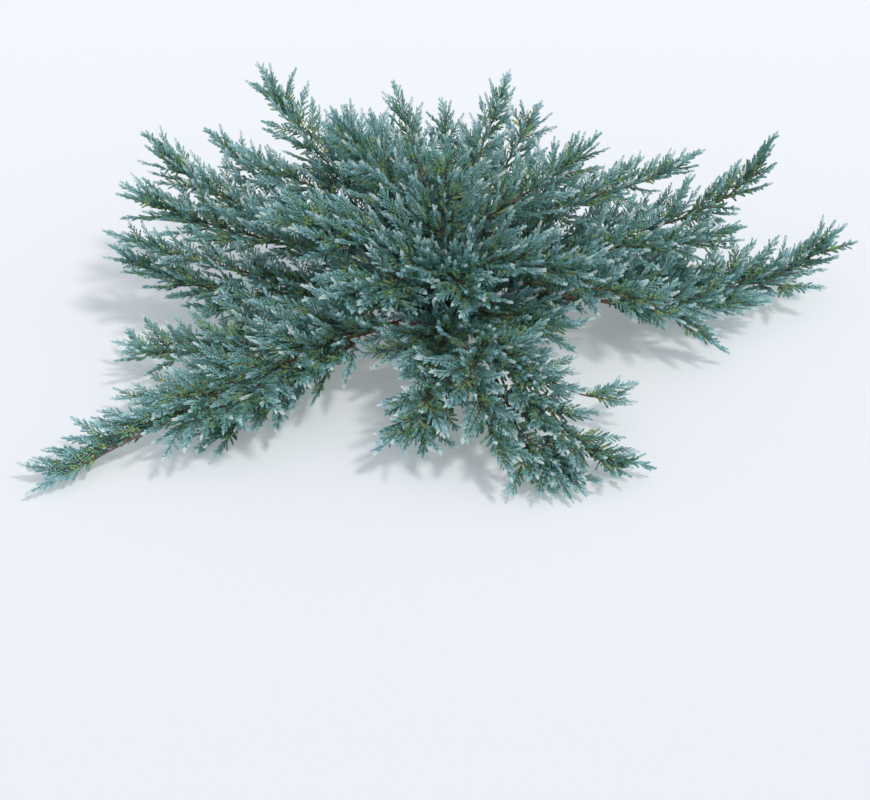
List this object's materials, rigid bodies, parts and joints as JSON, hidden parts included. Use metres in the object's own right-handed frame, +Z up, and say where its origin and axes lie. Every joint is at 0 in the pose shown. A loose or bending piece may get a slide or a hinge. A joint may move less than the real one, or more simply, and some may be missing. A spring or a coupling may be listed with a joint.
{
  "type": "blue chip juniper",
  "caption": "Low spreading conifer shrub with a short trunk, arching boughs and feathery blue-green masses of needles that trail outward over the ground.",
  "frame": {"origin": "centre of the flat cut under the trunk, at ground level", "axes": "+Z up; +X along the plant's longest spread, to the right for a viewer who stands at -Y, the side seen in the picture; -Z out of the cut under the trunk"},
  "size_m": [1.2645, 0.8662, 0.336],
  "materials": {
    "bark": "matt grey-brown bark that peels in strips",
    "bough_bark": "matt red-brown young bark",
    "needles": "matt blue-green needles with a pale bloom"
  },
  "bodies": {
    "root": {"bough_back": "bough_bark", "bough_back_left": "bough_bark", "bough_back_right": "bough_bark", "bough_front": "bough_bark", "bough_front_left": "bough_bark", "bough_front_middle": "bough_bark", "bough_front_right": "bough_bark", "bough_left": "bough_bark", "bough_left_back": "bough_bark", "bough_left_low": "bough_bark", "bough_right": "bough_bark", "bough_right_back": "bough_bark", "bough_right_low": "bough_bark", "foliage_back": "needles", "foliage_back_left": "needles", "foliage_back_left_side_1": "needles", "foliage_back_left_side_2": "needles", "foliage_back_right": "needles", "foliage_back_right_side_1": "needles", "foliage_back_right_side_2": "needles", "foliage_back_side_1": "needles", "foliage_back_side_2": "needles", "foliage_crown_1": "needles", "foliage_crown_2": "needles", "foliage_crown_3": "needles", "foliage_crown_4": "needles", "foliage_crown_5": "needles", "foliage_crown_6": "needles", "foliage_crown_7": "needles", "foliage_crown_8": "needles", "foliage_crown_9": "needles", "foliage_front": "needles", "foliage_front_left": "needles", "foliage_front_left_side_1": "needles", "foliage_front_left_side_2": "needles", "foliage_front_left_side_3": "needles", "foliage_front_middle": "needles", "foliage_front_middle_side_1": "needles", "foliage_front_middle_side_2": "needles", "foliage_front_right": "needles", "foliage_front_right_side_1": "needles", "foliage_front_side_1": "needles", "foliage_front_side_2": "needles", "foliage_front_side_3": "needles", "foliage_front_side_4": "needles", "foliage_left": "needles", "foliage_left_back": "needles", "foliage_left_back_side_1": "needles", "foliage_left_low": "needles", "foliage_left_low_side_1": "needles", "foliage_left_side_1": "needles", "foliage_right": "needles", "foliage_right_back": "needles", "foliage_right_back_side_1": "needles", "foliage_right_back_side_2": "needles", "foliage_right_low": "needles", "foliage_right_low_side_1": "needles", "foliage_right_side_1": "needles", "foliage_right_side_2": "needles", "trunk": "bark"}
  },
  "joints": []
}
